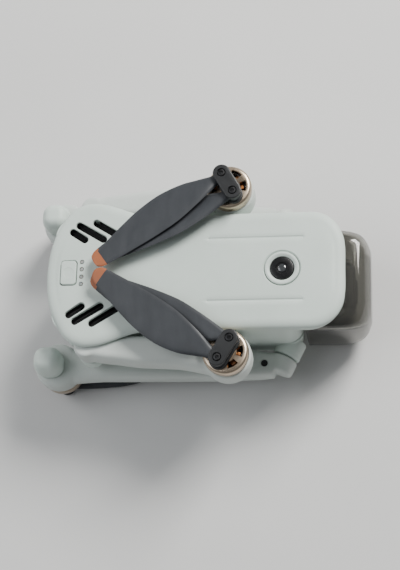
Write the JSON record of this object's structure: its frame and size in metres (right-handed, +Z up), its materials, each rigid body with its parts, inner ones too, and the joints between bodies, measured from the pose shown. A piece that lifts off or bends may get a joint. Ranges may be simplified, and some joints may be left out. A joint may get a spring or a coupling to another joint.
{
  "type": "folding camera quadcopter",
  "caption": "Small folding camera drone in its carrying pose: arms folded along a pale grey body, grey propellers with orange tips, smoked camera guard and slide-in battery.",
  "frame": {"origin": "centre of the overall length and width, at the belly's underside, arms folded", "axes": "+X to the nose along the longest side, +Y to the left side, +Z up, which is the shortest side when folded"},
  "size_m": [0.1492, 0.0942, 0.0585],
  "materials": {
    "shell_grey": "satin, fine moulded grain",
    "arm_grey": "satin, fine moulded grain",
    "battery_grey": "satin",
    "black_plastic": "satin",
    "lens_black": "polished",
    "smoked_guard": "clear smoked",
    "board_green": "satin",
    "sink_metal": "brushed",
    "soft_grey": "matte",
    "lamp_white": "diffusing",
    "motor_metal": "turned, warm tint",
    "winding_copper": "lacquered copper",
    "pin_steel": "ground",
    "blade_grey": "satin"
  },
  "bodies": {
    "airframe": {"upper_shell": "shell_grey", "lower_shell": "shell_grey", "battery_tray": "black_plastic", "top_sensor_bezel": "shell_grey", "top_sensor_lens": "lens_black", "led_strip": "lamp_white", "vent_grille_left": "black_plastic", "vent_grille_right": "black_plastic", "main_board": "board_green", "heat_sink": "sink_metal", "belly_sensor_panel": "black_plastic", "belly_lens_rear": "lens_black", "belly_lens_front": "lens_black", "belly_lamp": "lamp_white", "front_sensor_left": "lens_black", "front_sensor_right": "lens_black", "rear_hinge_pin_left": "pin_steel", "rear_hinge_pin_right": "pin_steel", "front_hinge_pin_left": "pin_steel", "front_hinge_pin_right": "pin_steel", "gimbal_mount": "black_plastic"},
    "battery": {"battery_case": "black_plastic", "battery_cap": "battery_grey"},
    "power_key": {"power_button": "shell_grey"},
    "port_flap": {"port_cover": "soft_grey"},
    "guard": {"gimbal_guard": "smoked_guard"},
    "gimbal_yaw": {"yaw_arm": "battery_grey"},
    "gimbal_roll": {"roll_arm": "battery_grey"},
    "camera": {"camera_head": "black_plastic", "camera_lens": "lens_black"},
    "latch_left": {"battery_latch_left": "soft_grey"},
    "latch_right": {"battery_latch_right": "soft_grey"},
    "rear_arm_right": {"rear_arm_right": "arm_grey", "rear_stator_right": "winding_copper"},
    "front_arm_right": {"front_arm_right": "arm_grey", "front_stator_right": "winding_copper", "landing_leg_right": "shell_grey", "status_lamp_right": "lamp_white"},
    "rear_rotor_right": {"rear_rotor_right": "motor_metal"},
    "rear_blade_high_right": {"rear_blade_high_right": "blade_grey"},
    "rear_blade_low_right": {"rear_blade_low_right": "blade_grey"},
    "front_rotor_right": {"front_rotor_right": "motor_metal"},
    "front_blade_high_right": {"front_blade_high_right": "blade_grey"},
    "front_blade_low_right": {"front_blade_low_right": "blade_grey"},
    "rear_arm_left": {"rear_arm_left": "arm_grey", "rear_stator_left": "winding_copper"},
    "front_arm_left": {"front_arm_left": "arm_grey", "front_stator_left": "winding_copper", "landing_leg_left": "shell_grey", "status_lamp_left": "lamp_white"},
    "rear_rotor_left": {"rear_rotor_left": "motor_metal"},
    "rear_blade_high_left": {"rear_blade_high_left": "blade_grey"},
    "rear_blade_low_left": {"rear_blade_low_left": "blade_grey"},
    "front_rotor_left": {"front_rotor_left": "motor_metal"},
    "front_blade_high_left": {"front_blade_high_left": "blade_grey"},
    "front_blade_low_left": {"front_blade_low_left": "blade_grey"}
  },
  "joints": [
    {"name": "rear_arm_right_fold", "type": "hinge", "parent": "airframe", "child": "rear_arm_right", "pos_m": [-0.0464, -0.0315, 0.04], "axis": [0, 0, -1], "range_deg": [0, 125]},
    {"name": "front_arm_right_fold", "type": "hinge", "parent": "airframe", "child": "front_arm_right", "pos_m": [0.0356, -0.033, 0.017], "axis": [-0.4226, -0.9063, 0], "range_deg": [0, 180]},
    {"name": "rear_motor_right_spin", "type": "hinge", "parent": "rear_arm_right", "child": "rear_rotor_right", "pos_m": [0.0149, -0.0368, 0.0465], "axis": [0, 0, 1], "range_deg": [0, 270]},
    {"name": "rear_blade_high_right_fold", "type": "hinge", "parent": "rear_rotor_right", "child": "rear_blade_high_right", "pos_m": [0.01246, -0.04094, 0.05525], "axis": [0, 0, 1], "range_deg": [0, 95]},
    {"name": "rear_blade_low_right_fold", "type": "hinge", "parent": "rear_rotor_right", "child": "rear_blade_low_right", "pos_m": [0.01734, -0.03266, 0.05525], "axis": [0, 0, -1], "range_deg": [0, 94]},
    {"name": "front_motor_right_spin", "type": "hinge", "parent": "front_arm_right", "child": "front_rotor_right", "pos_m": [-0.0644, -0.0335, 0.0126], "axis": [0, 0, -1], "range_deg": [0, 180]},
    {"name": "front_blade_high_right_fold", "type": "hinge", "parent": "front_rotor_right", "child": "front_blade_high_right", "pos_m": [-0.06482, -0.02872, 0.00385], "axis": [0, 0, 1], "range_deg": [0, 94]},
    {"name": "front_blade_low_right_fold", "type": "hinge", "parent": "front_rotor_right", "child": "front_blade_low_right", "pos_m": [-0.06398, -0.03828, 0.00385], "axis": [0, 0, -1], "range_deg": [0, 98]},
    {"name": "rear_arm_left_fold", "type": "hinge", "parent": "airframe", "child": "rear_arm_left", "pos_m": [-0.0464, 0.0315, 0.04], "axis": [0, 0, 1], "range_deg": [0, 125]},
    {"name": "front_arm_left_fold", "type": "hinge", "parent": "airframe", "child": "front_arm_left", "pos_m": [0.0356, 0.033, 0.017], "axis": [0.4226, -0.9063, 0], "range_deg": [0, 180]},
    {"name": "rear_motor_left_spin", "type": "hinge", "parent": "rear_arm_left", "child": "rear_rotor_left", "pos_m": [0.0149, 0.0368, 0.0465], "axis": [0, 0, -1], "range_deg": [0, 270]},
    {"name": "rear_blade_high_left_fold", "type": "hinge", "parent": "rear_rotor_left", "child": "rear_blade_high_left", "pos_m": [0.01246, 0.04094, 0.05525], "axis": [0, 0, -1], "range_deg": [0, 95]},
    {"name": "rear_blade_low_left_fold", "type": "hinge", "parent": "rear_rotor_left", "child": "rear_blade_low_left", "pos_m": [0.01734, 0.03266, 0.05525], "axis": [0, 0, 1], "range_deg": [0, 94]},
    {"name": "front_motor_left_spin", "type": "hinge", "parent": "front_arm_left", "child": "front_rotor_left", "pos_m": [-0.0644, 0.0335, 0.0126], "axis": [0, 0, 1], "range_deg": [0, 180]},
    {"name": "front_blade_high_left_fold", "type": "hinge", "parent": "front_rotor_left", "child": "front_blade_high_left", "pos_m": [-0.06482, 0.02872, 0.00385], "axis": [0, 0, -1], "range_deg": [0, 94]},
    {"name": "front_blade_low_left_fold", "type": "hinge", "parent": "front_rotor_left", "child": "front_blade_low_left", "pos_m": [-0.06398, 0.03828, 0.00385], "axis": [0, 0, 1], "range_deg": [0, 98]},
    {"name": "battery_slide", "type": "slide", "parent": "airframe", "child": "battery", "axis": [-1, 0, 0], "range_m": [0, 0.085]},
    {"name": "latch_left_press", "type": "slide", "parent": "battery", "child": "latch_left", "axis": [0, -1, 0], "range_m": [0, 0.001], "stiffness_N_per_m": 400},
    {"name": "latch_right_press", "type": "slide", "parent": "battery", "child": "latch_right", "axis": [0, 1, 0], "range_m": [0, 0.001], "stiffness_N_per_m": 400},
    {"name": "power_key_press", "type": "slide", "parent": "airframe", "child": "power_key", "axis": [0, 0, -1], "range_m": [0, 0.0006], "stiffness_N_per_m": 600},
    {"name": "port_flap_hinge", "type": "hinge", "parent": "airframe", "child": "port_flap", "pos_m": [-0.0613, 0.0115, 0.0136], "axis": [0, -1, 0], "range_deg": [0, 100]},
    {"name": "guard_slide", "type": "slide", "parent": "airframe", "child": "guard", "axis": [1, 0, 0], "range_m": [0, 0.03]},
    {"name": "gimbal_yaw_turn", "type": "hinge", "parent": "airframe", "child": "gimbal_yaw", "pos_m": [0.0536, 0, 0.0295], "axis": [0, 0, 1], "range_deg": [-25, 25]},
    {"name": "gimbal_roll_turn", "type": "hinge", "parent": "gimbal_yaw", "child": "gimbal_roll", "pos_m": [0.0514, 0, 0.017], "axis": [1, 0, 0], "range_deg": [-20, 20]},
    {"name": "camera_tilt", "type": "hinge", "parent": "gimbal_roll", "child": "camera", "pos_m": [0.0618, 0, 0.017], "axis": [0, 1, 0], "range_deg": [-20, 90]}
  ],
  "couplings": [
    {"joint": "rear_blade_low_right_fold", "follows": "rear_arm_right_fold", "ratio": 0.752},
    {"joint": "front_blade_high_right_fold", "follows": "front_arm_right_fold", "ratio": 0.52222},
    {"joint": "rear_blade_low_left_fold", "follows": "rear_arm_left_fold", "ratio": 0.752},
    {"joint": "front_blade_high_left_fold", "follows": "front_arm_left_fold", "ratio": 0.52222}
  ]
}
